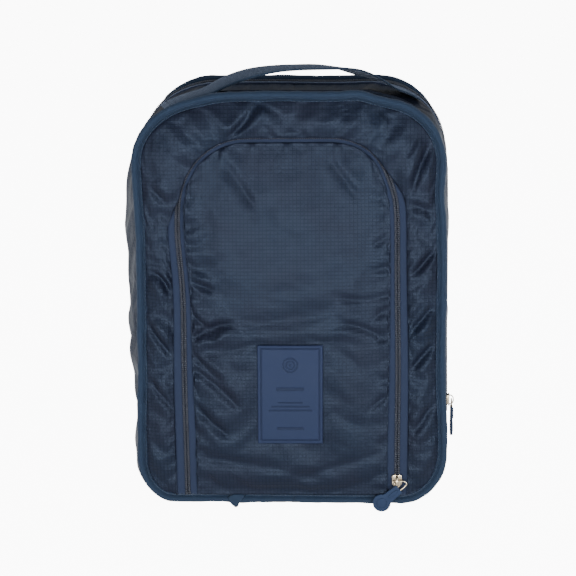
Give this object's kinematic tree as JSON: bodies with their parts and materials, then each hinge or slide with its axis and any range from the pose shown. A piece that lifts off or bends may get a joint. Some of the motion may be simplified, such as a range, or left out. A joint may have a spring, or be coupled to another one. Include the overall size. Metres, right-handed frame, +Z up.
{
  "type": "shoe bag",
  "caption": "Soft upright travel shoe bag with a zipped arched pocket flap in front, a zipped lid behind, bound edges, a rubber label patch and a webbing carry handle.",
  "frame": {"origin": "centre of the flat base on the surface that the bag stands on", "axes": "+X to the right as the front is seen, -Y out of the front pocket, +Z up towards the handle"},
  "size_m": [0.2414, 0.1285, 0.3265],
  "materials": {
    "shell_cloth": "navy ripstop polyester, slight sheen, creased",
    "zip_tape": "woven zip tape, lighter blue, matt",
    "zip_coil": "nylon coil, dark grey-blue",
    "binding": "folded grosgrain edge binding with a stitch line",
    "lining": "plain coated lining cloth",
    "slider_metal": "pale plated die-cast metal",
    "pull_rubber": "moulded soft rubber, satin",
    "label_rubber": "moulded soft rubber patch, matt",
    "strap_webbing": "woven strap with stitched ends"
  },
  "bodies": {
    "shell": {"front_surround": "shell_cloth", "front_sill": "shell_cloth", "front_tape_outer": "zip_tape", "front_coil_outer": "zip_coil", "front_tape_foot_left": "zip_tape", "front_tape_foot_right": "zip_tape", "front_coil_foot_left": "zip_coil", "front_coil_foot_right": "zip_coil", "front_binding": "binding", "gusset_band": "shell_cloth", "base_gusset": "shell_cloth", "main_tape_front": "zip_tape", "main_coil_front": "zip_coil", "back_panel_foot": "shell_cloth", "back_binding_foot": "binding", "divider": "lining", "handle_end_left": "strap_webbing", "handle_end_right": "strap_webbing"},
    "pocket_flap": {"flap_panel": "shell_cloth", "flap_tape": "zip_tape", "flap_coil": "zip_coil", "label_patch": "label_rubber"},
    "front_slider": {"front_slider_body": "slider_metal"},
    "front_pull": {"front_pull_bail": "slider_metal", "front_pull_tab": "pull_rubber"},
    "lid": {"back_panel": "shell_cloth", "back_binding": "binding", "lid_strip": "shell_cloth", "lid_tape": "zip_tape", "lid_coil": "zip_coil"},
    "main_slider": {"main_slider_body": "slider_metal"},
    "main_pull": {"main_pull_bail": "slider_metal", "main_pull_tab": "pull_rubber"},
    "handle": {"handle_grip": "strap_webbing"}
  },
  "joints": [
    {"name": "flap_fold", "type": "hinge", "parent": "shell", "child": "pocket_flap", "pos_m": [0, -0.062, 0.033], "axis": [1, 0, 0], "range_deg": [0, 95]},
    {"name": "front_slider_travel", "type": "slide", "parent": "shell", "child": "front_slider", "axis": [0, 0, 1], "range_m": [0, 0.2]},
    {"name": "front_pull_lift", "type": "hinge", "parent": "front_slider", "child": "front_pull", "pos_m": [0.0775, -0.0648, 0.0245], "axis": [-1, 0, 0], "range_deg": [0, 90]},
    {"name": "lid_fold", "type": "hinge", "parent": "shell", "child": "lid", "pos_m": [0, 0.0612, 0.0504], "axis": [-1, 0, 0], "range_deg": [0, 95]},
    {"name": "main_slider_travel", "type": "slide", "parent": "shell", "child": "main_slider", "axis": [0, 0, 1], "range_m": [0, 0.195]},
    {"name": "main_pull_lift", "type": "hinge", "parent": "main_slider", "child": "main_pull", "pos_m": [0.1213, 0.034, 0.06], "axis": [0, -1, 0], "range_deg": [0, 150]},
    {"name": "handle_tilt", "type": "hinge", "parent": "shell", "child": "handle", "pos_m": [0.0015, -0.01, 0.316], "axis": [0.9659, 0.2588, 0], "range_deg": [-40, 40], "stiffness_Nm_per_rad": 0.01}
  ]
}
